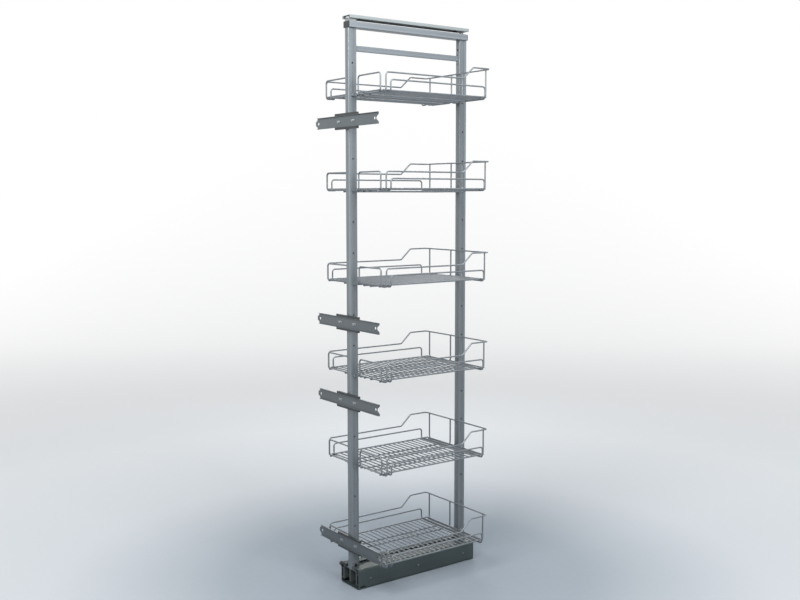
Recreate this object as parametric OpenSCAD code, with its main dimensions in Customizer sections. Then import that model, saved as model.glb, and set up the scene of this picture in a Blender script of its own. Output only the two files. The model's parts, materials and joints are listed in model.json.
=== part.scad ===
// Pull-out larder unit: six wire baskets hung between two posts on a telescopic floor runner.
// Origin: middle of the runner's underside. +Z up, -Y the way the unit pulls out, millimetres.

/* [Runner] */
// Length of the runner housing, front to back
runner_l = 490; // [440:5:560]
// Width of the runner housing
runner_w = 104; // [100:1:120]
// Height of the runner housing
runner_h = 68; // [66:1:80]
// Thickness of the housing's sheet steel
runner_wall = 2; // [1.5:0.1:2.5]
// Outside bend radius of the housing
runner_bend_r = 6; // [4:0.5:8]
// Width of the slot along the housing's top
slot_w = 38; // [36:1:44]
// Distance between the screws along each side of the housing
side_screw_pitch = 197; // [120:1:210]
// Width between the fixing holes in the housing's floor
floor_hole_w = 60; // [40:1:68]
// Length between the fixing holes in the housing's floor
floor_hole_l = 400; // [300:5:420]
// Diameter of the fixing holes in the housing's floor
floor_hole_d = 5.5; // [4.5:0.1:6.5]

/* [Telescopic slides] */
// Height of each ball slide
slide_h = 45; // [40:0.5:46]
// Thickness of each closed ball slide
slide_t = 12.7; // [12:0.1:14]
// Sheet thickness of the slide members
slide_sheet = 1.4; // [1.2:0.1:1.6]
// Gap between one slide member and the next
slide_play = 0.45; // [0.35:0.05:0.6]
// Height of the slides above the housing's floor
slide_lift = 7.5; // [5:0.5:9]

/* [Carriage] */
// Sheet thickness of the carriage beam
carriage_sheet = 2.5; // [2:0.1:3]
// Drop from the underside of the housing's top to the carriage beam
carriage_drop = 6; // [4:0.5:8]
// Half the thickness of the beam's middle web
web_half = 2; // [2:0.5:5]
// Height of the shoes that hold the posts
shoe_h = 26; // [22:1:36]
// Sheet thickness of the shoes
shoe_sheet = 2; // [1.5:0.1:2.5]

/* [Frame] */
// Height of the posts' top ends above the floor
post_top = 1812; // [1770:1:1900]
// Width of a post, side to side
post_w = 20; // [18:0.5:24]
// Depth of a post, front to back
post_d = 31; // [28:1:36]
// Wall thickness of the posts
post_wall = 1.5; // [1.2:0.1:2]
// Corner radius of the posts
post_r = 2; // [1:0.5:3]
// Width of the shallow groove along a post's sides
groove_w = 9; // [7:0.5:12]
// Depth of that groove
groove_d = 0.6; // [0.3:0.1:0.8]
// Set-back of the front post from the runner's front end
front_inset = 0; // [0:0.5:8]
// Set-back of the rear post from the runner's rear end
rear_inset = 7.5; // [7.5:0.5:20]
// Spacing of the holes up the posts
hole_pitch = 100; // [50:50:100]
// Diameter of the holes up the posts
hole_d = 5.5; // [5.3:0.1:7]
// Width of the head rail
head_w = 31; // [28:1:33]
// Height of the head rail
head_h = 20; // [18:1:26]
// Wall thickness of the head rail and cross rail
head_wall = 1.5; // [1.2:0.1:2]
// Drop from the posts' top ends to the cross rail's middle
cross_drop = 62; // [40:1:90]
// Height of the cross rail
cross_h = 18; // [14:1:22]
// Width of the cross rail, side to side
cross_w = 8; // [7:0.5:10]

/* [Top guide] */
// Distance by which the guide rail stops short of each end of the head rail
guide_inset = 0.5; // [0:0.25:20]
// Width of the top guide rail
guide_w = 43; // [42:1:48]
// Height of the top guide rail
guide_h = 10.5; // [10:0.5:14]
// Width between the walls of the guide's track
track_w = 31; // [29:1:33]
// Sheet thickness of the guide rail
guide_sheet = 1.5; // [1.2:0.1:1.7]
// Gap between the head rail and the guide rail
guide_gap = 7.5; // [6:0.5:9]
// Distance between the guide rail's screw holes
guide_hole_l = 300; // [200:10:340]
// Diameter of the guide rail's screw holes
guide_hole_d = 4.5; // [4:0.1:5.5]

/* [Front brackets] */
// Heights of the four front brackets' middles above the floor, lowest first
bracket_1_z = 146; // [140:1:170]
// Height of the second bracket
bracket_2_z = 622; // [560:1:650]
// Height of the third bracket
bracket_3_z = 878; // [850:1:940]
// Height of the top bracket
bracket_4_z = 1522; // [1470:1:1540]
// Length of a bracket's cross plate with its tongue
bracket_l = 361; // [300:1:380]
// Height of the cross plate
bracket_h = 36.4; // [34:0.2:42]
// Depth of the cross plate's channel, which opens to the front
bracket_d = 5.5; // [5:0.1:8]
// Sheet thickness of the cross plate
bracket_sheet = 1.5; // [1.2:0.1:2]
// Length of the tongue at the left end
tongue_l = 12; // [10:0.5:14]
// Depth of the notch at the right end
notch_l = 12.5; // [8:0.5:14]
// Diameter of the screw holes at the cross plate's ends
bracket_hole_d = 9; // [5:0.5:10]
// Length of the clamp behind the cross plate
clamp_l = 127; // [110:1:160]
// Distance of the clamp's middle to the right of the post's
clamp_shift = 3.5; // [0:0.5:6]
// Thickness of the clamp's back plate
clamp_t = 3; // [2.5:0.5:4]
// Height of the clamp's ribs above and below the cross plate
clamp_rib = 7; // [3:0.2:9]
// Distance of the clamp's screws from the middle
clamp_screw_x = 41; // [30:1:48]

/* [Baskets] */
// Height of the lowest basket's clips, that of the posts' lowest hole
basket_1_z = 103.5; // [100:0.5:108]
// Vertical distance between baskets
basket_pitch = 300; // [200:100:300]
// Distance between the basket's side planes
basket_w = 340; // [300:5:400]
// Set-back of the basket's front rails from the front post's front face
basket_setback = 21; // [18:0.5:23]
// Height of the side and front rails
rail_h = 58; // [50:1:70]
// Height of the raised rear rail
rear_h = 95; // [85:1:110]
// Height of the low side guards
guard_h = 36.5; // [30:0.5:42]
// Distance from the rear rail to where the side rail starts to rise
rise_back = 112; // [100:1:130]
// Length along which the side rail rises
rise_l = 41; // [36:1:50]
// Diameter of the rail wires
rail_d = 5; // [4:0.5:6]
// Diameter of the floor's cross wires
floor_d = 4; // [3:0.5:5]
// Nominal spacing of the floor's cross wires
floor_pitch = 20; // [15:1:30]
// Bend radius of the rail wires
bend_r = 10; // [8:1:12]
// Width of the gap that the front post passes through
post_gap = 67; // [60:1:80]
// Distance the baskets lift to come off their clips
basket_lift = 12; // [8:1:15]

/* [Hidden] */

$fn = 32;
bend_fn = 96;
eps = 0.01;

// Clearances
fit = 0.1;
running = 0.05;
seat = 0.3;
weld = 0.4;

// Colours
steel = [0.52, 0.55, 0.57];
wire_steel = [0.66, 0.68, 0.70];
runner_paint = [0.30, 0.34, 0.34];
bracket_paint = [0.36, 0.40, 0.41];
guide_steel = [0.58, 0.62, 0.66];
zinc = [0.75, 0.76, 0.77];
black_plastic = [0.06, 0.07, 0.07];
nylon = [0.85, 0.85, 0.82];

// Places along Y: the runner's ends, the posts and what hangs between them
runner_front = -runner_l / 2;
runner_rear = runner_l / 2;
front_post_y = runner_front + front_inset;
rear_post_y = runner_rear - rear_inset - post_d;
front_post_back = front_post_y + post_d;

// Slides and carriage
slide_z = runner_wall + slide_lift + slide_h / 2;
slide_l = runner_l - 10;
slide_wall_x = runner_w / 2 - runner_wall;
outer_lip = slide_t - slide_sheet - 0.2;
outer_half = slide_h / 2 - slide_sheet;
middle_u = slide_sheet + slide_play;
middle_half = outer_half - slide_play;
middle_lip = outer_lip - slide_sheet - slide_play;
inner_half = middle_half - slide_sheet - slide_play;
hook = 2.1;
inner_flange = inner_half - hook;
carriage_x = slide_wall_x - slide_t;
carriage_top = runner_h - runner_wall - carriage_drop;
carriage_low = slide_z - inner_flange;
carriage_r = 8;
stop_plate_t = 2;
buffer_l = 5;
buffer_d = 10;
carriage_front = front_post_y;
carriage_rear = runner_rear - stop_plate_t - buffer_l - seat;
carriage_screw_y = 180;
carriage_screw_d = 4;

// Frame
post_foot = carriage_top + shoe_sheet;
head_top = post_top + head_h;
cap_t = 2.5;
head_front = front_post_y - 1;
head_rear = rear_post_y + post_d + 1;
cross_z = post_top - cross_drop;
hole_count = floor((post_top - basket_1_z - 10) / hole_pitch) + 1;
foot_bolt_z = post_foot + 9;
foot_bolt_d = 6;
cross_plate_t = 2;
spare_hole_dz = 29;
spare_hole_d = 7;

// Small screws
screw_d = 4;
screw_head_d = 8;
screw_head_h = 2;
cross_plate_w = cross_w + 4;
cross_screw_dz = cross_h / 2 + screw_head_d / 2 + seat;
cross_plate_h = 2 * cross_screw_dz + screw_head_d;

// Top guide and its rollers
guide_z = head_top + guide_gap;
guide_top = guide_z + guide_h;
guide_front = head_front + guide_inset;
guide_rear = head_rear - guide_inset;
guide_mid_y = (guide_front + guide_rear) / 2;
guide_flange_h = guide_h - 1;
roller_r = track_w / 2 - seat;
roller_low = guide_z + 0.5;
roller_room = 2.8;
roller_h = guide_h - guide_sheet - roller_room;
pin_d = 6;
pin_collar_d = 10;
pin_nut_h = 4;
pin_cap_h = 1.2;
front_seat_w = 26;
rear_seat_w = pin_collar_d;

// Brackets
bracket_y = front_post_y - clamp_t - bracket_d;
bracket_half = bracket_h / 2;
web_y = bracket_y + bracket_d - bracket_sheet;
tip_left = tongue_l - bracket_l / 2;
tip_right = bracket_l / 2;
tongue_half = 9;
tongue_cut = 4;
tongue_end = tip_left - tongue_l;
notch_half = 12;
neck_half = 3;
hole_right_x = tip_right - notch_l - 8.5;
hole_left_x = tongue_end + tongue_l + bracket_hole_d / 2;
clamp_rib_l = bracket_d - 0.6;
clamp_y = front_post_y - clamp_t;
washer_t = 1;
washer_w = 8;
washer_l = 20;
clamp_screw_xs = [-clamp_screw_x, clamp_screw_x];
post_screw_dz = 10;
bracket_zs = [bracket_1_z, bracket_2_z, bracket_3_z, bracket_4_z];

// Baskets
basket_count = 6;
basket_front = front_post_y + basket_setback;
side_x = basket_w / 2;
corner_inset = 15;
half_rail_x = side_x - corner_inset;
edge_x = half_rail_x - 1;
post_side_x = post_gap / 2;

// Levels of the basket's wires above its clips' pins
mesh_z = 5.5;
bearer_z = mesh_z - (floor_d + rail_d) / 2 + weld;
low_z = bearer_z - rail_d + weld;
foot_z = mesh_z - rail_d - fit;

// Lines of the basket's wires along Y
front_gap = 0.7;
front_bearer_y = front_post_back + front_gap + rail_d / 2;
rear_rail_y = rear_post_y - seat - rail_d / 2;
rear_gap = seat + rail_d + fit;
rear_bearer_y = rear_post_y - rear_gap - rail_d / 2;
edge_front_y = basket_front + bend_r;
edge_rear_y = rear_rail_y - rail_d / 2 - fit;
side_leg_back = 10;
side_leg_y = basket_front + side_leg_back;
guard_front_back = 28;
guard_front_y = basket_front + guard_front_back;
guard_rear_in = 21;
guard_rear_y = rear_rail_y - guard_rear_in;

// Stubs, feet and legs of the baskets
stub_in_x = post_side_x + rail_d + fit;
stub_out_x = half_rail_x - 8;
low_x = edge_x / 2 - 2;
bearer_half = stub_out_x + rail_d / 2;
foot_l = 22;
inner_foot_y = front_bearer_y - rail_d / 2 - fit;
side_foot_x = half_rail_x + rail_d / 2 + fit;
guard_foot_x = edge_x - 4;
rear_leg_out = edge_x - 4.5;
rear_leg_in = post_side_x - 4;
thin_wire = rail_d - 0.06;

// Clips that carry the baskets' bearers
clip_t = 1.8;
clip_in = post_w / 2 + fit;
clip_out = clip_in + clip_t;
clip_up = 7;
clip_ear = 6;
clip_shelf = bearer_z - rail_d / 2 - seat;
clip_low = clip_shelf - 2.2;
clip_lip = 2;
clip_pin_d = 5;
clip_pin_head = 2.4;

function basket_z(i) = basket_1_z + (i - 1) * basket_pitch;
function unit(v) = v / norm(v);
function setback(p, q, s, r) = r * tan(acos(unit(q - p) * unit(s - q)) / 2);

// Rectangle with rounded corners, centred
module rounded(w, h, r) {
    square([w - 2 * r, h], center = true);
    square([w, h - 2 * r], center = true);
    for (x = [-1, 1], y = [-1, 1]) translate([x * (w / 2 - r), y * (h / 2 - r)]) circle(r = r);
}

// Extrudes an X-Z outline along Y, from one Y to the other
module along_y(y0, y1) translate([0, y1, 0]) rotate([90, 0, 0]) linear_extrude(y1 - y0) children();

// A box given by two opposite corners
module block(a, b) translate(a) cube(b - a);

// Straight round bar between two points
module rod(a, b, d) {
    v = b - a;
    translate(a) rotate([0, acos(v.z / norm(v)), atan2(v.y, v.x)]) cylinder(h = norm(v), d = d);
}

// Round bar bent at p from direction u to direction v, a hair thinner than the straight bar
module elbow(p, u, v, r, d) {
    turn = acos(u * v);
    n = unit(v - (u * v) * u);
    c = p - u * r * tan(turn / 2) + n * r;
    w = cross(-n, u);
    multmatrix([[-n.x, u.x, w.x, c.x], [-n.y, u.y, w.y, c.y], [-n.z, u.z, w.z, c.z], [0, 0, 0, 1]])
        rotate_extrude(angle = turn, $fn = bend_fn) translate([r, 0]) circle(d = d - 0.06);
}

// Wire through the points, bent with radius r at each inner point
module wire(pts, r, d) {
    lap = 0.3;
    n = len(pts);
    for (i = [0:n - 2]) {
        u = unit(pts[i + 1] - pts[i]);
        a = i == 0 ? pts[0] : pts[i] + u * (setback(pts[i - 1], pts[i], pts[i + 1], r) - lap);
        b = i == n - 2 ? pts[n - 1] : pts[i + 1] - u * (setback(pts[i], pts[i + 1], pts[i + 2], r) - lap);
        rod(a, b, d);
        if (i < n - 2) elbow(pts[i + 1], u, unit(pts[i + 2] - pts[i + 1]), r, d);
    }
}

// Pan-head screw at p: the shank runs along v for its length, the head stands the other way
module screw(p, v, l, d = screw_d) {
    rod(p - v * eps, p + v * l, d);
    rod(p - v * screw_head_h, p, 2 * d);
}

// ---- Runner ----

module housing_outline() {
    difference() {
        translate([0, runner_h / 2]) rounded(runner_w, runner_h, runner_bend_r);
        translate([0, runner_h / 2])
            rounded(runner_w - 2 * runner_wall, runner_h - 2 * runner_wall, runner_bend_r - runner_wall);
        translate([0, runner_h]) square([slot_w, 4 * runner_wall], center = true);
    }
}

module runner_housing() color(runner_paint) {
    notch_y = runner_front + 7;
    notch_end_y = notch_y + 20;
    notch_top_z = runner_bend_r + 4.5;
    difference() {
        along_y(runner_front, runner_rear) housing_outline();
        for (x = [-1, 1], y = [-1, 1])
            translate([x * floor_hole_w / 2, y * floor_hole_l / 2, -1])
                cylinder(h = runner_wall + 2, d = floor_hole_d);
        for (x = [-1, 1], y = [-1:1])
            rod([x * (slide_wall_x - 1), y * side_screw_pitch, slide_z],
                [x * (runner_w / 2 + 1), y * side_screw_pitch, slide_z], screw_d + 2 * fit);
        block([slide_wall_x - 1, notch_y, runner_bend_r], [runner_w / 2 + 1, notch_end_y, notch_top_z]);
    }
}

// Slide members are drawn for the right side and mirrored for the left
module side(s) mirror([s < 0 ? 1 : 0, 0, 0]) children();

module slide_screw_holes(u0, u1, ys, d) {
    for (y = ys)
        rod([slide_wall_x - u0, y, slide_z], [slide_wall_x - u1, y, slide_z], d);
}

// Half of a C section: u runs inwards from the housing's wall, z from the slide's middle
module c_section(u_web, u_lip, half, hook_h) {
    for (s = [-1, 1]) {
        translate([u_web, s > 0 ? half : -half - slide_sheet]) square([u_lip - u_web, slide_sheet]);
        translate([u_lip - slide_sheet, s > 0 ? half - hook_h : -half - eps])
            square([slide_sheet, hook_h + eps]);
    }
    translate([u_web, -half - eps]) square([slide_sheet, 2 * half + 2 * eps]);
}

module place_slide(y0, y1) {
    translate([slide_wall_x, 0, slide_z]) mirror([1, 0, 0]) along_y(y0, y1) children();
}

module outer_slide(s) color(zinc) side(s) {
    difference() {
        place_slide(-slide_l / 2, slide_l / 2) c_section(0, outer_lip, outer_half, hook);
        slide_screw_holes(-1, slide_sheet + 1, [for (i = [-1:1]) i * side_screw_pitch], screw_d + 2 * fit);
    }
}

module middle_slide(s) color(zinc) side(s)
    place_slide(-slide_l / 2, slide_l / 2) c_section(middle_u, middle_lip, middle_half - slide_sheet, hook);

module inner_slide(s) color(zinc) side(s) {
    root_u = middle_u + slide_sheet + slide_play;
    difference() {
        place_slide(carriage_front, carriage_rear) {
            translate([slide_t - slide_sheet, -inner_flange]) square([slide_sheet, 2 * inner_flange]);
            for (k = [-1, 1]) {
                translate([root_u, k > 0 ? inner_flange - slide_sheet : -inner_flange])
                    square([slide_t - root_u, slide_sheet]);
                translate([root_u, k > 0 ? inner_flange - slide_sheet : -inner_half])
                    square([slide_sheet, inner_half - inner_flange + slide_sheet]);
            }
        }
        slide_screw_holes(slide_t - slide_sheet - 1, slide_t + 1, [-carriage_screw_y, carriage_screw_y],
                          carriage_screw_d + 2 * fit);
    }
}

module housing_screws() color(zinc)
    for (x = [-1, 1], y = [-1:1])
        screw([x * runner_w / 2, y * side_screw_pitch, slide_z], [-x, 0, 0], runner_wall + slide_sheet);

module rear_stop_plate() color(runner_paint)
    difference() {
        block([-carriage_x, runner_rear - stop_plate_t, runner_wall],
              [carriage_x, runner_rear, slide_z + slide_h / 2]);
        rod([0, runner_rear - stop_plate_t - 1, slide_z], [0, runner_rear + 1, slide_z], screw_d + 2 * fit);
    }

// Rubber buffer that the beam's middle web meets when the unit is pushed home
module rear_buffer() color(black_plastic) {
    y = runner_rear - stop_plate_t;
    rod([0, y - buffer_l, slide_z], [0, y, slide_z], buffer_d);
    rod([0, y - eps, slide_z], [0, runner_rear, slide_z], screw_d);
}

// Stop on the left end of the housing's top: a nosing round the sheet's edge, and an ear beside the wall
module side_stop() color(black_plastic) {
    ear_w = 15;
    ear_l = 18;
    ear_r = 3;
    ear_low = runner_h - 14;
    ear_high = runner_h - 7;
    nose_t = 2;
    nose_l = 12;
    lip_t = 1.5;
    x_wall = -runner_w / 2;
    x_in = -slot_w / 2 - 1;
    x_bend = x_wall + runner_bend_r + 1;
    z_low = carriage_top + 2 * seat;
    mid_y = runner_front + ear_l / 2;
    mid_z = (ear_low + ear_high) / 2;
    block([x_wall, runner_front - nose_t, z_low], [x_in, runner_front, runner_h + lip_t]);
    block([x_bend, runner_front - eps, runner_h], [x_in, runner_front + nose_l, runner_h + lip_t]);
    block([x_bend, runner_front - eps, z_low], [x_in, runner_front + nose_l, runner_h - runner_wall - fit]);
    block([x_wall - ear_r, runner_front - nose_t, ear_low], [x_wall + ear_r, runner_front, runner_h + lip_t]);
    difference() {
        union() {
            block([x_wall - ear_w + ear_r, runner_front - eps, ear_low],
                  [x_wall, runner_front + ear_l, ear_high]);
            block([x_wall - ear_w, runner_front + ear_r, ear_low],
                  [x_wall - ear_w + 2 * ear_r, runner_front + ear_l - ear_r, ear_high]);
            for (y = [ear_r, ear_l - ear_r])
                translate([x_wall - ear_w + ear_r, runner_front + y, ear_low])
                    cylinder(h = ear_high - ear_low, r = ear_r);
        }
        rod([x_wall - ear_w - 1, mid_y, mid_z], [x_wall - ear_w / 2, mid_y, mid_z], mid_z - ear_low + 1);
    }
}

// ---- Carriage and frame ----

module carriage_outline() {
    h = carriage_top - carriage_low;
    bay = carriage_x - carriage_sheet - web_half;
    r = carriage_r - carriage_sheet;
    difference() {
        union() {
            translate([0, carriage_top - h / 2]) rounded(2 * carriage_x, h, carriage_r);
            translate([-carriage_x, carriage_low]) square([2 * carriage_x, h / 2]);
        }
        for (s = [-1, 1])
            translate([s * (web_half + bay / 2), 0]) {
                translate([0, carriage_top - carriage_sheet - h / 2]) rounded(bay, h, r);
                translate([-bay / 2, carriage_low - h]) square([bay, h * 1.5]);
            }
    }
}

module carriage_beam() color(runner_paint)
    difference() {
        along_y(carriage_front, carriage_rear) carriage_outline();
        for (s = [-1, 1], y = [-1, 1])
            rod([s * (carriage_x - carriage_sheet - 1), y * carriage_screw_y, slide_z],
                [s * (carriage_x + 1), y * carriage_screw_y, slide_z], carriage_screw_d + 2 * fit);
    }

module carriage_screws() color(zinc)
    for (s = [-1, 1], y = [-1, 1])
        screw([s * (carriage_x - carriage_sheet), y * carriage_screw_y, slide_z], [s, 0, 0],
              carriage_sheet + slide_sheet);

module post_shoe(y) {
    x0 = post_w / 2 + fit;
    x1 = x0 + shoe_sheet;
    difference() {
        union() {
            block([-x1, y, carriage_top], [x1, y + post_d, post_foot]);
            for (s = [-1, 1])
                block([min(s * x0, s * x1), y, carriage_top],
                      [max(s * x0, s * x1), y + post_d, carriage_top + shoe_h]);
        }
        rod([-x1 - 1, y + post_d / 2, foot_bolt_z], [x1 + 1, y + post_d / 2, foot_bolt_z],
            foot_bolt_d + 2 * fit);
    }
}

module post_shoes() color(steel) {
    post_shoe(front_post_y);
    post_shoe(rear_post_y);
}

module foot_bolts() color(black_plastic)
    for (y = [front_post_y, rear_post_y]) {
        x = post_w / 2 + fit + shoe_sheet;
        rod([-x, y + post_d / 2, foot_bolt_z], [x, y + post_d / 2, foot_bolt_z], foot_bolt_d);
        for (s = [-1, 1])
            rod([s * x, y + post_d / 2, foot_bolt_z], [s * (x + 2.5), y + post_d / 2, foot_bolt_z],
                2 * foot_bolt_d - 2);
    }

module post_outline() {
    difference() {
        rounded(post_w, post_d, post_r);
        for (s = [-1, 1])
            translate([s * (post_w / 2), 0]) square([2 * groove_d, groove_w], center = true);
        difference() {
            square([post_w - 2 * post_wall, post_d - 2 * post_wall], center = true);
            for (s = [-1, 1])
                translate([s * (post_w / 2), 0])
                    square([2 * (groove_d + post_wall), groove_w + 2 * post_wall], center = true);
        }
    }
}

module post(y) {
    difference() {
        translate([0, y + post_d / 2, post_foot]) linear_extrude(post_top - post_foot) post_outline();
        for (i = [0:hole_count - 1])
            rod([-post_w, y + post_d / 2, basket_1_z + i * hole_pitch],
                [post_w, y + post_d / 2, basket_1_z + i * hole_pitch], hole_d);
        rod([-post_w, y + post_d / 2, foot_bolt_z], [post_w, y + post_d / 2, foot_bolt_z],
            foot_bolt_d + 2 * fit);
    }
}

module front_post() color(steel)
    difference() {
        post(front_post_y);
        for (z = bracket_zs, s = [-1, 1])
            rod([0, front_post_y - 1, z + s * post_screw_dz],
                [0, front_post_y + post_wall + 1, z + s * post_screw_dz],
                screw_d + 2 * fit);
        for (s = [-1, 1])
            rod([0, front_post_back - post_wall - 1, cross_z + s * cross_screw_dz],
                [0, front_post_back + 1, cross_z + s * cross_screw_dz], screw_d + 2 * fit);
        rod([0, front_post_back - post_wall - 1, cross_z + spare_hole_dz],
            [0, front_post_back + 1, cross_z + spare_hole_dz], spare_hole_d);
    }

module rear_post() color(steel)
    difference() {
        post(rear_post_y);
        for (s = [-1, 1])
            rod([0, rear_post_y - 1, cross_z + s * cross_screw_dz],
                [0, rear_post_y + post_wall + 1, cross_z + s * cross_screw_dz], screw_d + 2 * fit);
        rod([0, rear_post_y - 1, cross_z + spare_hole_dz],
            [0, rear_post_y + post_wall + 1, cross_z + spare_hole_dz], spare_hole_d);
    }

module tube_outline(w, h, t, r) {
    difference() {
        rounded(w, h, r);
        square([w - 2 * t, h - 2 * t], center = true);
    }
}

module head_rail() color(steel)
    difference() {
        translate([0, 0, post_top + head_h / 2])
            along_y(head_front + cap_t, head_rear - cap_t) tube_outline(head_w, head_h, head_wall, 2);
        for (y = [front_post_y, rear_post_y])
            translate([0, y + post_d / 2, head_top - head_wall - 1])
                cylinder(h = head_wall + 2, d = pin_d + 2 * fit);
    }

module head_end_caps() color(black_plastic) {
    plug_l = 6;
    for (end = [0, 1])
        translate([0, 0, post_top + head_h / 2]) {
            y0 = end == 0 ? head_front : head_rear - cap_t;
            along_y(y0, y0 + cap_t) rounded(head_w, head_h, 2);
            y1 = end == 0 ? head_front + cap_t : head_rear - cap_t - plug_l;
            along_y(y1 - eps, y1 + plug_l + eps)
                square([head_w - 2 * head_wall - 2 * fit, head_h - 2 * head_wall - 2 * fit], center = true);
        }
}

module cross_rail() color(steel) {
    y0 = front_post_back;
    y1 = rear_post_y;
    translate([0, 0, cross_z]) along_y(y0 + cross_plate_t, y1 - cross_plate_t)
        tube_outline(cross_w, cross_h, head_wall, 1.5);
    difference() {
        translate([0, 0, cross_z])
            for (y = [y0, y1 - cross_plate_t])
                along_y(y, y + cross_plate_t) rounded(cross_plate_w, cross_plate_h, 2);
        for (s = [-1, 1])
            rod([0, y0 - 1, cross_z + s * cross_screw_dz], [0, y1 + 1, cross_z + s * cross_screw_dz],
                screw_d + 2 * fit);
    }
}

module cross_rail_screws() color(runner_paint)
    for (s = [-1, 1]) {
        z = cross_z + s * cross_screw_dz;
        screw([0, front_post_back + cross_plate_t, z], [0, -1, 0], cross_plate_t + post_wall + 2);
        screw([0, rear_post_y - cross_plate_t, z], [0, 1, 0], cross_plate_t + post_wall + 2);
    }

// ---- Top guide ----

module guide_plate() color(guide_steel)
    difference() {
        block([-guide_w / 2, guide_front, guide_top - guide_sheet], [guide_w / 2, guide_rear, guide_top]);
        for (s = [-1, 1])
            translate([0, guide_mid_y + s * guide_hole_l / 2, guide_top - guide_sheet - 1])
                cylinder(h = guide_sheet + 2, d = guide_hole_d);
    }

// Channel under the plate: a deep inner wall that the rollers run on and a shorter outer wall
module guide_channel(s) color(guide_steel) side(s)
    translate([0, 0, guide_z]) along_y(guide_front, guide_rear) {
        t = guide_sheet;
        top = guide_h - t;
        translate([track_w / 2, 0]) square([t, top]);
        translate([track_w / 2, top - t]) square([guide_w / 2 - track_w / 2, t]);
        translate([guide_w / 2 - t, guide_h - guide_flange_h]) square([t, guide_flange_h - t]);
    }

// Pin with a nut inside the head rail, a square seat under the roller and a cap above it
module roller_pin(y, seat_w) {
    nut_z = head_top - head_wall - pin_nut_h;
    cap_z = roller_low + roller_h + seat / 2;
    translate([0, y, nut_z]) cylinder(h = pin_nut_h, d = pin_collar_d, $fn = 6);
    translate([0, y, nut_z]) cylinder(h = cap_z - nut_z + eps, d = pin_d);
    block([-seat_w / 2, y - seat_w / 2, head_top], [seat_w / 2, y + seat_w / 2, roller_low - seat]);
    translate([0, y, cap_z]) cylinder(h = pin_cap_h, d = pin_collar_d);
}

module roller_pins() color(zinc) {
    roller_pin(front_post_y + post_d / 2, front_seat_w);
    roller_pin(rear_post_y + post_d / 2, rear_seat_w);
}

module guide_roller(y) color(nylon)
    translate([0, y + post_d / 2, roller_low])
        rotate_extrude($fn = bend_fn) {
            translate([pin_d / 2 + running, 0]) square([roller_r - 1 - pin_d / 2 - running, roller_h]);
            translate([pin_d / 2 + running, 1]) square([roller_r - pin_d / 2 - running, roller_h - 2]);
        }

// ---- Clips ----

// Clip on a post: face is the post's face to the basket, out the hook's direction, gap the bearer's distance
module basket_clip(face, out, gap, z) {
    y_pin = face - out * post_d / 2;
    reach = gap + rail_d + seat + clip_lip;
    back = y_pin - out * clip_ear;
    difference() {
        union() {
            for (s = [-1, 1]) {
                x0 = min(s * clip_in, s * clip_out);
                x1 = max(s * clip_in, s * clip_out);
                block([x0, min(face, back), z + clip_low], [x1, max(face, back), z + clip_up]);
                block([x0, face - clip_lip, z + clip_low], [x1, face + clip_lip, z + clip_shelf]);
            }
            block([-clip_out, min(face + out * fit, face + out * reach), z + clip_low],
                  [clip_out, max(face + out * fit, face + out * reach), z + clip_shelf]);
            block([-clip_out, min(face + out * (reach - clip_lip), face + out * reach), z + clip_low],
                  [clip_out, max(face + out * (reach - clip_lip), face + out * reach), z + bearer_z]);
        }
        rod([-clip_out - 1, y_pin, z], [clip_out + 1, y_pin, z], clip_pin_d + 2 * fit);
    }
}

module front_basket_clips() color(steel)
    for (i = [1:basket_count]) basket_clip(front_post_back, 1, front_gap, basket_z(i));

module rear_basket_clips() color(steel)
    for (i = [1:basket_count]) basket_clip(rear_post_y, -1, rear_gap, basket_z(i));

module clip_pins() color(steel)
    for (i = [1:basket_count], y = [front_post_y, rear_post_y]) {
        z = basket_z(i);
        rod([-clip_out, y + post_d / 2, z], [clip_out, y + post_d / 2, z], clip_pin_d);
        for (s = [-1, 1])
            rod([s * clip_out, y + post_d / 2, z], [s * (clip_out + clip_pin_head), y + post_d / 2, z],
                clip_pin_d + 3);
    }

// ---- Front brackets ----

module web_outline() {
    polygon([[tip_left, -bracket_half], [tip_right, -bracket_half], [tip_right, -notch_half],
             [tip_right - notch_l, -neck_half], [tip_right - notch_l, neck_half], [tip_right, notch_half],
             [tip_right, bracket_half], [tip_left, bracket_half], [tip_left - tongue_cut, tongue_half],
             [tongue_end + tongue_cut, tongue_half], [tongue_end, tongue_half - tongue_cut],
             [tongue_end, tongue_cut - tongue_half], [tongue_end + tongue_cut, -tongue_half],
             [tip_left - tongue_cut, -tongue_half]]);
}

// Cross plate: a channel open to the front, with its web against the clamp
module bracket_plate(z) color(bracket_paint)
    difference() {
        translate([0, 0, z]) {
            along_y(web_y, clamp_y) web_outline();
            for (s = [-1, 1])
                block([tip_left, bracket_y, s > 0 ? bracket_half - bracket_sheet : -bracket_half],
                      [tip_right, clamp_y, s > 0 ? bracket_half : bracket_sheet - bracket_half]);
        }
        for (x = [hole_left_x, hole_right_x]) rod([x, web_y - 1, z], [x, clamp_y + 1, z], bracket_hole_d);
        for (x = clamp_screw_xs) rod([x, web_y - 1, z], [x, clamp_y + 1, z], screw_d + 2 * fit);
    }

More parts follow.
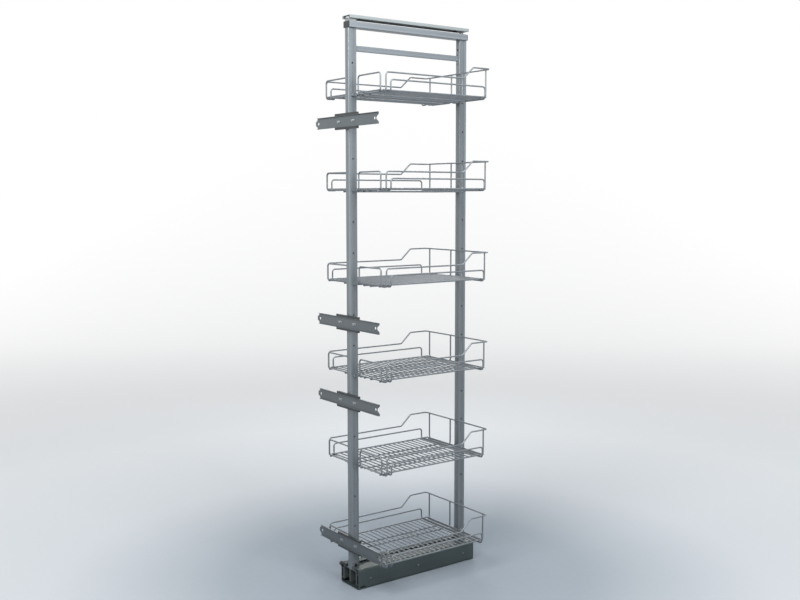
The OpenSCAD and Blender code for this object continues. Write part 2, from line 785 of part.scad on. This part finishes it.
module bracket_clamp(z) color(black_plastic) {
    x0 = clamp_shift - clamp_l / 2;
    x1 = clamp_shift + clamp_l / 2;
    low = bracket_half + fit;
    high = low + clamp_rib;
    difference() {
        union() {
            block([x0, clamp_y, z - high], [x1, front_post_y, z + high]);
            for (s = [-1, 1])
                block([x0, clamp_y - clamp_rib_l, min(z + s * low, z + s * high)],
                      [x1, clamp_y + eps, max(z + s * low, z + s * high)]);
        }
        for (x = clamp_screw_xs) rod([x, clamp_y - 1, z], [x, front_post_y + 1, z], screw_d + 2 * fit);
        for (s = [-1, 1]) {
            screw_z = z + s * post_screw_dz;
            rod([0, clamp_y - 1, screw_z], [0, front_post_y + 1, screw_z], screw_d + 2 * fit);
            rod([0, clamp_y - 1, screw_z], [0, clamp_y + screw_head_h + fit, screw_z],
                screw_head_d + 2 * fit);
        }
    }
}

// Screws that hold the cross plate to its clamp, each with a long washer
module bracket_screws() color(zinc)
    for (z = bracket_zs, x = clamp_screw_xs) {
        half = (washer_l - washer_w) / 2;
        screw([x, web_y - washer_t, z], [0, 1, 0], washer_t + bracket_sheet + clamp_t);
        block([x - half, web_y - washer_t, z - washer_w / 2], [x + half, web_y, z + washer_w / 2]);
        for (s = [-1, 1]) rod([x + s * half, web_y - washer_t, z], [x + s * half, web_y, z], washer_w);
    }

// Screws that hold the clamp to the post, their heads sunk in it
module clamp_screws() color(zinc)
    for (z = bracket_zs, s = [-1, 1])
        screw([0, clamp_y + screw_head_h + fit, z + s * post_screw_dz], [0, 1, 0],
              clamp_t - screw_head_h - fit + post_wall + 2);

// ---- Baskets ----

module basket_floor(i) color(wire_steel) translate([0, 0, basket_z(i)]) {
    run = rear_bearer_y - basket_front;
    n = round(run / floor_pitch);
    low_rear_y = rear_bearer_y - run / n;
    for (k = [1:n]) {
        y = basket_front + k * run / n;
        rod([-edge_x, y, mesh_z], [edge_x, y, mesh_z], floor_d);
    }
    for (s = [-1, 1]) {
        rod([s * edge_x, edge_front_y, mesh_z], [s * edge_x, edge_rear_y, mesh_z], rail_d);
        rod([s * (post_side_x + rail_d / 2 + fit), basket_front, mesh_z],
            [s * (half_rail_x - rail_d / 2 - fit), basket_front, mesh_z], floor_d);
        for (x = [stub_in_x, stub_out_x])
            rod([s * x, basket_front - floor_d / 2, bearer_z], [s * x, front_bearer_y, bearer_z], rail_d);
        for (x = [stub_in_x, low_x])
            rod([s * x, front_bearer_y, low_z], [s * x, low_rear_y, low_z], rail_d);
    }
    for (y = [front_bearer_y, low_rear_y, rear_bearer_y])
        rod([-bearer_half, y, bearer_z], [bearer_half, y, bearer_z], thin_wire);
}

module basket_rails(i) color(wire_steel) translate([0, 0, basket_z(i)]) {
    rise_y = rear_rail_y - rise_back;
    side_run = [[side_foot_x, side_leg_y, foot_z], [side_x, side_leg_y, foot_z], [side_x, side_leg_y, rail_h],
                [side_x, rise_y, rail_h], [side_x, rise_y + rise_l, rear_h], [side_x, rear_rail_y, rear_h]];
    other_side = [for (k = [len(side_run) - 1:-1:0]) [-side_run[k].x, side_run[k].y, side_run[k].z]];
    wire(concat(side_run, other_side), bend_r, rail_d);
    for (s = [-1, 1])
        wire([[s * rear_leg_in, rear_rail_y, rear_h], [s * rear_leg_in, rear_rail_y, foot_z],
              [s * rear_leg_out, rear_rail_y, foot_z], [s * rear_leg_out, rear_rail_y, rear_h]],
             bend_r + 4, thin_wire);
}

// Low guards along the sides, and the half rails in front on both sides of the post
module basket_guards(i) color(wire_steel) translate([0, 0, basket_z(i)])
    for (s = [-1, 1]) {
        wire([[s * guard_foot_x, guard_front_y, foot_z], [s * side_x, guard_front_y, foot_z],
              [s * side_x, guard_front_y, guard_h], [s * side_x, guard_rear_y, guard_h],
              [s * side_x, guard_rear_y, foot_z], [s * guard_foot_x, guard_rear_y, foot_z]], bend_r, rail_d);
        wire([[s * post_side_x, inner_foot_y, foot_z], [s * post_side_x, basket_front, foot_z],
              [s * post_side_x, basket_front, rail_h], [s * half_rail_x, basket_front, rail_h],
              [s * half_rail_x, basket_front, foot_z], [s * half_rail_x, basket_front + foot_l, foot_z]],
             bend_r, rail_d);
    }

runner_housing();
outer_slide(-1);  // left_outer_slide
outer_slide(1);  // right_outer_slide
housing_screws();
rear_stop_plate();
rear_buffer();
side_stop();
guide_plate();
guide_channel(-1);  // left_guide_channel
guide_channel(1);  // right_guide_channel
middle_slide(-1);  // left_middle_slide
middle_slide(1);  // right_middle_slide
inner_slide(-1);  // left_inner_slide
inner_slide(1);  // right_inner_slide
carriage_beam();
carriage_screws();
post_shoes();
foot_bolts();
front_post();
rear_post();
head_rail();
head_end_caps();
cross_rail();
cross_rail_screws();
roller_pins();
guide_roller(front_post_y);  // front_guide_roller
guide_roller(rear_post_y);  // rear_guide_roller
front_basket_clips();
rear_basket_clips();
clip_pins();
bracket_plate(bracket_1_z);  // bracket_plate_1
bracket_plate(bracket_2_z);  // bracket_plate_2
bracket_plate(bracket_3_z);  // bracket_plate_3
bracket_plate(bracket_4_z);  // bracket_plate_4
bracket_clamp(bracket_1_z);  // bracket_clamp_1
bracket_clamp(bracket_2_z);  // bracket_clamp_2
bracket_clamp(bracket_3_z);  // bracket_clamp_3
bracket_clamp(bracket_4_z);  // bracket_clamp_4
bracket_screws();
clamp_screws();
basket_floor(1);  // basket_1_floor
basket_floor(2);  // basket_2_floor
basket_floor(3);  // basket_3_floor
basket_floor(4);  // basket_4_floor
basket_floor(5);  // basket_5_floor
basket_floor(6);  // basket_6_floor
basket_rails(1);  // basket_1_rails
basket_rails(2);  // basket_2_rails
basket_rails(3);  // basket_3_rails
basket_rails(4);  // basket_4_rails
basket_rails(5);  // basket_5_rails
basket_rails(6);  // basket_6_rails
basket_guards(1);  // basket_1_guards
basket_guards(2);  // basket_2_guards
basket_guards(3);  // basket_3_guards
basket_guards(4);  // basket_4_guards
basket_guards(5);  // basket_5_guards
basket_guards(6);  // basket_6_guards
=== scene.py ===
import json
import math

import bmesh
import bpy
from mathutils import Matrix, Vector


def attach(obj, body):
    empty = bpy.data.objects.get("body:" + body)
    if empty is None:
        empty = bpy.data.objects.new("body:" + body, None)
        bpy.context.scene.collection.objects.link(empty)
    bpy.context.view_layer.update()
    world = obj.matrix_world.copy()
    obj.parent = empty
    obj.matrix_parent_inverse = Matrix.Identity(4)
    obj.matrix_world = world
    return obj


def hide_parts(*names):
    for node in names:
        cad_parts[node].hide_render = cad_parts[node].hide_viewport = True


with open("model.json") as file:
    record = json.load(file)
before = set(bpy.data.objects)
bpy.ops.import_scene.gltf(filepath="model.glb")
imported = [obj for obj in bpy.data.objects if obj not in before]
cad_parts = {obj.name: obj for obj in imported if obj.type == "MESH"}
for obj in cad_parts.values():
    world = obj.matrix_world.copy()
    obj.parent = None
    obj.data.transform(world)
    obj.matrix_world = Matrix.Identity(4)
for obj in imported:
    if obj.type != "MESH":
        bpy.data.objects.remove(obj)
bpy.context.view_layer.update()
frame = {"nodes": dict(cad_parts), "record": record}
nodes = frame["nodes"]

MM = 0.001
WHITE = (1, 1, 1)

# The camera that was fitted to the photograph's straight edges
VIEW_TURN = math.radians(36.17)
VIEW_TILT = math.radians(5.85)
VIEW_ROLL = math.radians(-0.08)
VIEW_PLACE = (2.72867, -2.03294, 1.28626)
VIEW_LENS = 45.72
SENSOR_WIDTH = 36
VIEW_REACH = 60


def new_object(name, data):
    obj = bpy.data.objects.new(name, data)
    bpy.context.collection.objects.link(obj)
    return obj


# ---- Camera, at the photograph's angle ----

def make_camera():
    level = math.cos(VIEW_TILT)
    forward = Vector((-math.cos(VIEW_TURN) * level, math.sin(VIEW_TURN) * level, -math.sin(VIEW_TILT)))
    right = Vector((math.sin(VIEW_TURN), math.cos(VIEW_TURN), 0))
    up = right.cross(forward)
    rolled_right = right * math.cos(VIEW_ROLL) + up * math.sin(VIEW_ROLL)
    rolled_up = up * math.cos(VIEW_ROLL) - right * math.sin(VIEW_ROLL)
    place = Matrix((rolled_right, rolled_up, -forward)).transposed().to_4x4()
    place.translation = VIEW_PLACE
    data = bpy.data.cameras.new("camera")
    data.sensor_width = SENSOR_WIDTH
    data.lens = VIEW_LENS
    data.clip_end = VIEW_REACH
    camera = new_object("camera", data)
    camera.matrix_world = place
    bpy.context.scene.camera = camera


# ---- Materials ----

EVEN = (1, 1, 1)


class Nodes:
    """A material's node tree, with short calls for what every finish here needs.

    A noise's scale is in features per metre, and its stretch is below 1 along the way that marks run.
    """

    def __init__(self, name):
        self.mat = bpy.data.materials.new(name)
        self.mat.use_nodes = True
        self.tree = self.mat.node_tree
        self.shader = self.tree.nodes["Principled BSDF"]
        coords = self.tree.nodes.new("ShaderNodeTexCoord")
        self.object = coords.outputs["Object"]
        self.last_normal = None

    def link(self, a, b):
        self.tree.links.new(a, b)

    def noise(self, scale, stretch=EVEN, detail=4.0, rough=0.55):
        mapping = self.tree.nodes.new("ShaderNodeMapping")
        mapping.inputs["Scale"].default_value = stretch
        self.link(self.object, mapping.inputs["Vector"])
        texture = self.tree.nodes.new("ShaderNodeTexNoise")
        texture.inputs["Scale"].default_value = scale
        texture.inputs["Detail"].default_value = detail
        texture.inputs["Roughness"].default_value = rough
        self.link(mapping.outputs[0], texture.inputs["Vector"])
        return texture.outputs["Fac"]

    def cells(self, scale):
        texture = self.tree.nodes.new("ShaderNodeTexVoronoi")
        texture.inputs["Scale"].default_value = scale
        self.link(self.object, texture.inputs["Vector"])
        return texture.outputs["Distance"]

    def span(self, value, low, high, source=(0.3, 0.7)):
        """value brought from the range of source to low and high; a noise seldom leaves 0.3 to 0.7."""
        node = self.tree.nodes.new("ShaderNodeMapRange")
        node.inputs["From Min"].default_value = source[0]
        node.inputs["From Max"].default_value = source[1]
        node.inputs["To Min"].default_value = low
        node.inputs["To Max"].default_value = high
        self.link(value, node.inputs["Value"])
        return node.outputs[0]

    def ramp(self, value, stops):
        node = self.tree.nodes.new("ShaderNodeValToRGB")
        ramp = node.color_ramp
        while len(ramp.elements) < len(stops):
            ramp.elements.new(0.5)
        for element, (position, color) in zip(ramp.elements, stops):
            element.position = position
            element.color = (*color, 1)
        self.link(value, node.inputs["Fac"])
        return node.outputs["Color"]

    def mix(self, factor, a, b):
        node = self.tree.nodes.new("ShaderNodeMix")
        node.data_type = "RGBA"
        color_a, color_b = node.inputs[6], node.inputs[7]
        for socket, value in ((node.inputs["Factor"], factor), (color_a, a), (color_b, b)):
            if isinstance(value, tuple):
                socket.default_value = (*value, 1)
            elif isinstance(value, float):
                socket.default_value = value
            else:
                self.link(value, socket)
        color_out = node.outputs[2]
        return color_out

    def bump(self, height, distance, strength=1.0):
        node = self.tree.nodes.new("ShaderNodeBump")
        node.inputs["Strength"].default_value = strength
        node.inputs["Distance"].default_value = distance
        self.link(height, node.inputs["Height"])
        if self.last_normal:
            self.link(self.last_normal, node.inputs["Normal"])
        self.last_normal = node.outputs["Normal"]
        self.link(self.last_normal, self.shader.inputs["Normal"])

    def set(self, name, value):
        if isinstance(value, (int, float)):
            self.shader.inputs[name].default_value = value
        else:
            self.link(value, self.shader.inputs[name])


def shade(color, k):
    return tuple(min(1.0, c * k) for c in color)


def two_tones(n, value, color, low, high):
    """color times the shades low to high, each a pair of the value's place and the shade there."""
    return n.ramp(value, [(low[0], shade(color, low[1])), (high[0], shade(color, high[1]))])


def brushed_steel(name, color, metallic, rough, stretch, spread=0.1, sheen_stripe_depth=0.25):
    """Rolled steel or extrusion: painted sheen and shade stripes and fine streaks along the bar, cloudy
    tone, an uneven gloss.
    """
    n = Nodes(name)
    streak = n.noise(900, stretch, 3.0, 0.6)
    longer = tuple(k if k == 1 else k * 0.3 for k in stretch)
    sheen_band = n.noise(140, longer, 1.0, 0.4)
    cloud = n.noise(9, EVEN, 3.0)
    tone = n.ramp(cloud, [(0.3, shade(color, 1 - spread)), (0.5, color), (0.72, shade(color, 1 + spread))])
    fine = two_tones(n, streak, color, (0.35, 0.86), (0.65, 1.12))
    # Painted sheen and shade: long light and dark stripes of colour along the bar.
    painted_sheen_stripes = n.ramp(sheen_band, [(0.38, shade(color, 1 - sheen_stripe_depth)), (0.5, color), (0.62, shade(color, 1 + sheen_stripe_depth))])
    n.set("Base Color", n.mix(0.5, n.mix(0.35, tone, fine), painted_sheen_stripes))
    n.set("Metallic", metallic)
    n.set("Roughness", n.span(streak, rough - 0.06, rough + 0.08))
    n.bump(streak, 0.00003, 0.5)
    return n.mat


def powder_coat(name, color, rough, grain=2600, bump=0.00008, metallic=0.25):
    """Stoved metallic paint: an orange-peel surface with a fine fleck."""
    n = Nodes(name)
    peel = n.noise(grain, EVEN, 2.0, 0.5)
    fleck = n.noise(grain * 2.6, EVEN, 1.0, 0.5)
    cloud = n.noise(7, EVEN, 4.0)
    tone = two_tones(n, cloud, color, (0.3, 0.88), (0.7, 1.1))
    spark = two_tones(n, fleck, color, (0.4, 0.85), (0.62, 1.25))
    n.set("Base Color", n.mix(0.3, tone, spark))
    n.set("Metallic", metallic)
    n.set("Roughness", n.span(peel, rough - 0.05, rough + 0.07))
    n.set("Coat Weight", 0.15)
    n.set("Coat Roughness", 0.25)
    n.bump(peel, bump, 0.6)
    return n.mat


def plated_wire(name, color):
    """Drawn and plated wire: bright, a little cloudy, with faint draw marks and duller patches."""
    n = Nodes(name)
    cloud = n.noise(35, EVEN, 4.0)
    marks = n.noise(500, EVEN, 2.0)
    tone = two_tones(n, cloud, color, (0.3, 0.84), (0.7, 1.14))
    drawn = two_tones(n, marks, color, (0.3, 0.8), (0.7, 1.2))
    n.set("Base Color", n.mix(0.2, tone, drawn))
    n.set("Metallic", 0.5)
    n.set("Roughness", n.span(cloud, 0.34, 0.48))
    n.bump(marks, 0.00004, 0.4)
    return n.mat


def zinc_plate(name, color):
    """Bright zinc: crystal mottling and soft scratches."""
    n = Nodes(name)
    crystal = two_tones(n, n.cells(260), color, (0.0, 0.85), (0.8, 1.12))
    scratch = n.noise(700, (1, 0.08, 1), 2.0)
    scratched = two_tones(n, scratch, color, (0.3, 0.8), (0.7, 1.15))
    n.set("Base Color", n.mix(0.3, crystal, scratched))
    n.set("Metallic", 0.9)
    n.set("Roughness", n.span(scratch, 0.2, 0.36))
    n.bump(scratch, 0.00003, 0.4)
    return n.mat


def moulded_plastic(name, color, rough, spark=3000, soft=0.0):
    """Moulded plastic or rubber: fine erosion texture and a slight cloud in the tone."""
    n = Nodes(name)
    grain = n.noise(spark, EVEN, 2.0)
    cloud = n.noise(20, EVEN, 3.0)
    n.set("Base Color", two_tones(n, cloud, color, (0.3, 0.8), (0.7, 1.25)))
    n.set("Roughness", n.span(grain, rough - 0.08, rough + 0.1))
    n.set("Subsurface Weight", soft)
    n.bump(grain, 0.00006, 0.5)
    return n.mat


# A stretch of 0.01 lets the streaks run the bar's whole length.
POST = brushed_steel("post_steel_brushed", (0.19, 0.213, 0.229), 0.45, 0.38, (1, 1, 0.01))
HEAD = brushed_steel("head_steel_brushed", (0.215, 0.238, 0.26), 0.45, 0.38, (1, 0.01, 1))
SHOE = brushed_steel("shoe_steel", (0.21, 0.23, 0.245), 0.45, 0.4, (1, 0.02, 1))
CLIP = brushed_steel("clip_steel", (0.17, 0.19, 0.205), 0.45, 0.4, (1, 1, 0.05))
GUIDE = brushed_steel("guide_rail_zinc", (0.30, 0.33, 0.335), 0.5, 0.4, (1, 0.01, 1), sheen_stripe_depth=0.1)
# The slides' colour is darkened as painted shade inside the runner housing.
SHADE_DARKENED_SLIDE = brushed_steel("slide_steel_shade_darkened", (0.13, 0.145, 0.15), 0.6, 0.36, (1, 0.01, 1))
RUNNER = powder_coat("runner_coat", (0.056, 0.074, 0.074), 0.42, bump=0.00006)
CARRIAGE = powder_coat("carriage_coat", (0.11, 0.125, 0.125), 0.45)
BRACKET = powder_coat("bracket_coat", (0.098, 0.115, 0.124), 0.42)
WIRE = plated_wire("basket_wire_plated", (0.188, 0.208, 0.224))
ZINC = zinc_plate("zinc_plate", (0.36, 0.38, 0.39))
SCREW = zinc_plate("screw_zinc_dull", (0.22, 0.245, 0.25))
DARK = zinc_plate("screw_zinc_black", (0.05, 0.055, 0.06))
BLACK = moulded_plastic("black_plastic_moulded", (0.020, 0.024, 0.026), 0.42)
RUBBER = moulded_plastic("black_rubber", (0.015, 0.016, 0.017), 0.62, 1800)
# Light grey nylon, darkened further as painted shade inside the guide channels.
NYLON = moulded_plastic("roller_nylon_grey_shade_darkened", (0.34, 0.36, 0.37), 0.38, 2500, 0.1)


def paint(obj, mat):
    """Puts one material in all of an object's slots."""
    if not obj.material_slots:
        obj.data.materials.append(mat)
    for slot in obj.material_slots:
        slot.material = mat


FINISH = {
    "runner_housing": RUNNER, "rear_stop_plate": RUNNER, "rear_buffer": RUBBER, "side_stop": BLACK,
    "housing_screws": SCREW, "left_outer_slide": SHADE_DARKENED_SLIDE, "right_outer_slide": SHADE_DARKENED_SLIDE,
    "left_middle_slide": SHADE_DARKENED_SLIDE, "right_middle_slide": SHADE_DARKENED_SLIDE, "left_inner_slide": SHADE_DARKENED_SLIDE,
    "right_inner_slide": SHADE_DARKENED_SLIDE, "carriage_beam": CARRIAGE, "carriage_screws": SCREW,
    "post_shoes": SHOE, "foot_bolts": DARK, "front_post": POST, "rear_post": POST,
    "head_rail": HEAD, "head_end_caps": BLACK, "cross_rail": HEAD, "cross_rail_screws": SCREW,
    "guide_plate": GUIDE, "left_guide_channel": GUIDE, "right_guide_channel": GUIDE,
    "roller_pins": ZINC, "front_guide_roller": NYLON, "rear_guide_roller": NYLON,
    "front_basket_clips": CLIP, "rear_basket_clips": CLIP, "clip_pins": CLIP,
    "bracket_screws": ZINC, "clamp_screws": SCREW,
}


def finish_of(name):
    if name.startswith("basket_"):
        return WIRE
    if name.startswith("bracket_plate_"):
        return BRACKET
    if name.startswith("bracket_clamp_"):
        return BLACK
    return FINISH[name]


for node_name, node in nodes.items():
    paint(node, finish_of(node_name))

body_of = {name: body for body, names in frame["record"]["behaviour"]["bodies"].items() for name in names}


# ---- Pieces ----

SAME_POINT = 2e-6
SAME_PLANE = math.radians(0.5)
SHARP_EDGE = math.radians(32)
MOST_WEIGHT = 100


def new_piece(name, mesh, node, material):
    """A piece that rides with a CAD node's body and takes the material it is given."""
    obj = new_object(name, mesh)
    mesh.materials.append(material)
    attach(obj, body_of[node])
    return obj


def finished_mesh(bm, name):
    mesh = bpy.data.meshes.new(name)
    bm.to_mesh(mesh)
    bm.free()
    return mesh


def clean_copy(name):
    """A node's mesh without the coplanar cuts, ready for bevels."""
    mesh = nodes[name].data.copy()
    mesh.materials.clear()
    bm = bmesh.new()
    bm.from_mesh(mesh)
    bmesh.ops.remove_doubles(bm, verts=bm.verts, dist=SAME_POINT)
    bmesh.ops.dissolve_limit(bm, angle_limit=SAME_PLANE, verts=bm.verts, edges=bm.edges)
    bm.to_mesh(mesh)
    bm.free()
    return mesh


def softened(name, width, angle=40, segments=2, cutter=None):
    """Puts a copy of a node with its edges rounded, and with the cutter's recesses, in the node's place."""
    mesh = clean_copy(name)
    piece = new_piece(name + "_soft", mesh, name, finish_of(name))
    bevel = piece.modifiers.new("edges", "BEVEL")
    bevel.width = width
    bevel.segments = segments
    bevel.limit_method = "ANGLE"
    bevel.angle_limit = math.radians(angle)
    bevel.use_clamp_overlap = True
    if cutter:
        cut = piece.modifiers.new("recess", "BOOLEAN")
        cut.object = cutter
        cut.solver = "EXACT"
        bpy.context.view_layer.update()
        result = piece.evaluated_get(bpy.context.evaluated_depsgraph_get())
        mesh = bpy.data.meshes.new_from_object(result)
        piece.modifiers.clear()
        piece.data = mesh
        bpy.data.objects.remove(cutter)
        mesh.set_sharp_from_angle(angle=SHARP_EDGE)
    for poly in mesh.polygons:
        poly.use_smooth = True
    flat = piece.modifiers.new("flat faces", "WEIGHTED_NORMAL")
    flat.weight = MOST_WEIGHT
    flat.keep_sharp = True
    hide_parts(name)


def islands(mesh):
    """The lowest and highest corner of each loose part of a mesh."""
    bm = bmesh.new()
    bm.from_mesh(mesh)
    bmesh.ops.remove_doubles(bm, verts=bm.verts, dist=SAME_POINT)
    left = set(bm.verts)
    found = []
    for first in bm.verts:
        if first not in left:
            continue
        left.remove(first)
        stack = [first]
        low, high = first.co.copy(), first.co.copy()
        while stack:
            vert = stack.pop()
            for axis in range(3):
                low[axis] = min(low[axis], vert.co[axis])
                high[axis] = max(high[axis], vert.co[axis])
            for edge in vert.link_edges:
                other = edge.other_vert(vert)
                if other in left:
                    left.remove(other)
                    stack.append(other)
        found.append((low, high))
    bm.free()
    return found


def cross_cutter(places, size, width, depth):
    """Tapered crosses, each with a turn of its own; a place is a head's middle and the way it faces."""
    first_turn, next_turn = 13, 37
    above, taper = 2 * MM, 0.62
    half, thin = size / 2, width / 2
    ring = [(half, -thin), (half, thin), (thin, thin), (thin, half), (-thin, half), (-thin, thin),
            (-half, thin), (-half, -thin), (-thin, -thin), (-thin, -half), (thin, -half), (thin, -thin)]
    bm = bmesh.new()
    for k, (spot, out) in enumerate(places):
        across = Vector((0, 0, 1))
        other = out.cross(across)
        turn = math.radians(first_turn + next_turn * k)
        u = across * math.cos(turn) + other * math.sin(turn)
        v = out.cross(u)
        top = [bm.verts.new(spot + u * a + v * b + out * above) for a, b in ring]
        low = [bm.verts.new(spot + (u * a + v * b) * taper - out * depth) for a, b in ring]
        for i in range(len(ring)):
            j = (i + 1) % len(ring)
            bm.faces.new((top[i], low[i], low[j], top[j]))
        bm.faces.new(top)
        bm.faces.new(list(reversed(low)))
    bmesh.ops.recalc_face_normals(bm, faces=bm.faces)
    return new_object("cutter", finished_mesh(bm, "cutter"))


def recessed(name, facing):
    """A node of screws with rounded heads and cross recesses; facing gives a head's way out, across Z."""
    size, width, depth, soft = 4.4 * MM, 1.0 * MM, 1.3 * MM, 0.45 * MM
    places = []
    for low, high in islands(nodes[name].data):
        mid = (low + high) / 2
        out = facing(mid)
        spot = mid.copy()
        for axis in range(3):
            if out[axis]:
                spot[axis] = high[axis] if out[axis] > 0 else low[axis]
        places.append((spot, out))
    softened(name, soft, segments=3, cutter=cross_cutter(places, size, width, depth))


for k in range(1, 5):
    softened("bracket_plate_%d" % k, 0.35 * MM)
    softened("bracket_clamp_%d" % k, 0.5 * MM)
softened("head_end_caps", 0.7 * MM)
softened("side_stop", 0.4 * MM)
softened("post_shoes", 0.35 * MM)
softened("clip_pins", 0.5 * MM, segments=3)
softened("foot_bolts", 0.5 * MM, segments=3)
recessed("bracket_screws", lambda mid: Vector((0, -1, 0)))
recessed("housing_screws", lambda mid: Vector((1 if mid.x > 0 else -1, 0, 0)))
recessed("cross_rail_screws", lambda mid: Vector((0, 1 if mid.y < 0 else -1, 0)))


def wire_rows(points, top, outer):
    """The Y of each floor wire, where it meets the inner side of the right edge wire in a ring of points."""
    top_band, edge_in, reach, front_end = 1.0 * MM, 3.5 * MM, 5 * MM, 15 * MM
    between_rings_mm, least_ring_mm = 6, 1
    front = min(p.y for p in points) + front_end
    inner = outer - edge_in
    found = sorted({round(p.y / MM, 1) for p in points
                    if p.z > top - top_band and inner - reach < p.x < inner and p.y > front})
    rings = []
    for y in found:
        if rings and y - rings[-1][-1] < between_rings_mm:
            rings[-1].append(y)
        else:
            rings.append([y])
    return [(ring[0] + ring[-1]) / 2 * MM for ring in rings if ring[-1] - ring[0] >= least_ring_mm]


def welds(k):
    """The upset metal where a basket's floor wires are welded to its edge wires."""
    name = "basket_%d_floor" % k
    bead_in, bead_down = 3.6 * MM, 2.4 * MM
    bead = Matrix.Diagonal((1.7 * MM, 2.7 * MM, 2.35 * MM, 1))
    points = [v.co for v in nodes[name].data.vertices]
    top, outer = max(p.z for p in points), max(p.x for p in points)
    bm = bmesh.new()
    for y in wire_rows(points, top, outer):
        for side in (-1, 1):
            spot = Matrix.Translation((side * (outer - bead_in), y, top - bead_down)) @ bead
            bmesh.ops.create_uvsphere(bm, u_segments=12, v_segments=8, radius=1, matrix=spot)
    for face in bm.faces:
        face.smooth = True
    welds_name = "basket_%d_welds" % k
    new_piece(welds_name, finished_mesh(bm, welds_name), name, WIRE)


for k in range(1, 7):
    welds(k)


# ---- Floor, backdrop and light ----

SKY_COLOR = (0.93, 0.96, 1.0)
SKY_STRENGTH = 0.36
LAMP_SPREAD = math.radians(130)


def seen_ray(tree):
    """1 for the rays that show a background: to the camera, in gloss and through clear things."""
    path = tree.nodes.new("ShaderNodeLightPath")
    seen = path.outputs["Is Camera Ray"]
    for ray in ("Is Glossy Ray", "Is Transmission Ray"):
        add = tree.nodes.new("ShaderNodeMath")
        add.operation = "ADD"
        add.use_clamp = True
        tree.links.new(seen, add.inputs[0])
        tree.links.new(path.outputs[ray], add.inputs[1])
        seen = add.outputs[0]
    return seen


def blended(tree, factor, a, b):
    mix = tree.nodes.new("ShaderNodeMixShader")
    tree.links.new(factor, mix.inputs[0])
    tree.links.new(a, mix.inputs[1])
    tree.links.new(b, mix.inputs[2])
    return mix.outputs[0]


def sweep_profile():
    """The paper's side view as distance and height: level, then a quarter turn up to a wall."""
    before, level_row, behind, radius, wall_top, steps = 14.0, 3.0, 5.0, 2.2, 9.0, 24
    profile = [(-before, 0.0), (-level_row, 0.0), (0.0, 0.0)]
    for i in range(steps + 1):
        t = math.pi / 2 * i / steps
        profile.append((behind + radius * math.sin(t), radius * (1 - math.cos(t))))
    profile.append((behind + radius, wall_top))
    return profile


def paper():
    """Matt paper with painted shade: darkest blue-grey under the object, fading outward to white."""
    n = Nodes("floor_paper")
    away = n.tree.nodes.new("ShaderNodeVectorMath")
    away.operation = "LENGTH"
    n.link(n.object, away.inputs[0])
    # The stops below are shares of these 10 m from the object's middle.
    far = n.span(away.outputs["Value"], 0.0, 1.0, (0.0, 10.0))
    # Painted shade: the darkest blue-grey lies under the object and lightens outward.
    tone = n.ramp(far, [(0.03, (0.27, 0.31, 0.355)), (0.06, (0.31, 0.35, 0.39)), (0.12, (0.60, 0.63, 0.66)),
                        (0.22, (0.80, 0.83, 0.85)), (0.6, (0.88, 0.90, 0.91))])
    mottle = n.ramp(n.noise(40), [(0.3, shade(WHITE, 0.8)), (0.7, (1.0, 1.0, 1.0))])
    n.set("Base Color", n.mix(0.04, tone, mottle))
    n.set("Roughness", 0.85)
    n.set("Specular IOR Level", 0.1)
    # Far off, the paper shows white to the camera and in metal, without lighting the object more.
    whiteness = n.ramp(far, [(at, shade(WHITE, k)) for at, k in
                             ((0.06, 0), (0.12, 0.06), (0.22, 0.22), (0.3, 0.4), (0.46, 0.64), (0.75, 1))])
    share = n.tree.nodes.new("ShaderNodeMath")
    share.operation = "MULTIPLY"
    n.link(seen_ray(n.tree), share.inputs[0])
    n.link(whiteness, share.inputs[1])
    glow = n.tree.nodes.new("ShaderNodeEmission")
    glow.inputs["Color"].default_value = (*WHITE, 1)
    glow.inputs["Strength"].default_value = 1.0
    surface = blended(n.tree, share.outputs[0], n.shader.outputs[0], glow.outputs[0])
    n.link(surface, n.tree.nodes["Material Output"].inputs["Surface"])
    return n.mat


def make_stage():
    """A paper floor that sweeps up into a backdrop behind the object, seen from the camera."""
    back = Vector((-math.cos(VIEW_TURN), math.sin(VIEW_TURN), 0))
    side = Vector((math.sin(VIEW_TURN), math.cos(VIEW_TURN), 0))
    half, under = 14.0, 0.5 * MM
    bm = bmesh.new()
    rows = []
    for dist, z in sweep_profile():
        mid = back * dist + Vector((0, 0, z - under))
        rows.append([bm.verts.new(mid + side * s * half) for s in (-1, 1)])
    for a, b in zip(rows, rows[1:]):
        bm.faces.new((a[0], a[1], b[1], b[0]))
    mesh = finished_mesh(bm, "floor")
    for poly in mesh.polygons:
        poly.use_smooth = True
    mesh.materials.append(paper())
    new_object("floor", mesh)


def area(name, place, target, size, watts, color=WHITE):
    data = bpy.data.lights.new(name, "AREA")
    data.shape = "RECTANGLE"
    data.size, data.size_y = size
    data.energy = watts
    data.spread = LAMP_SPREAD
    data.color = color
    lamp = new_object(name, data)
    lamp.location = place
    lamp.rotation_euler = (Vector(target) - Vector(place)).to_track_quat("-Z", "Y").to_euler()


def make_light():
    """A cool even sky that lights, a white one that is seen, and three soft lamps."""
    world = bpy.data.worlds.new("studio")
    bpy.context.scene.world = world
    world.use_nodes = True
    tree = world.node_tree
    light = tree.nodes["Background"]
    light.inputs["Color"].default_value = (*SKY_COLOR, 1)
    light.inputs["Strength"].default_value = SKY_STRENGTH
    white = tree.nodes.new("ShaderNodeBackground")
    white.inputs["Color"].default_value = (*WHITE, 1)
    surface = blended(tree, seen_ray(tree), light.outputs[0], white.outputs[0])
    tree.links.new(surface, tree.nodes["World Output"].inputs["Surface"])
    area("key", (0.9, -2.2, 3.1), (0, 0, 1.8), (1.5, 1.8), 56)
    area("fill", (2.5, -0.1, 2.9), (0, 0, 1.7), (1.4, 1.8), 46, (0.95, 0.98, 1.0))
    area("rim", (-2.4, 1.8, 2.9), (0, 0, 1.3), (1.0, 2.2), 22)


make_camera()
make_stage()
make_light()
bpy.context.scene.view_settings.view_transform = "Standard"
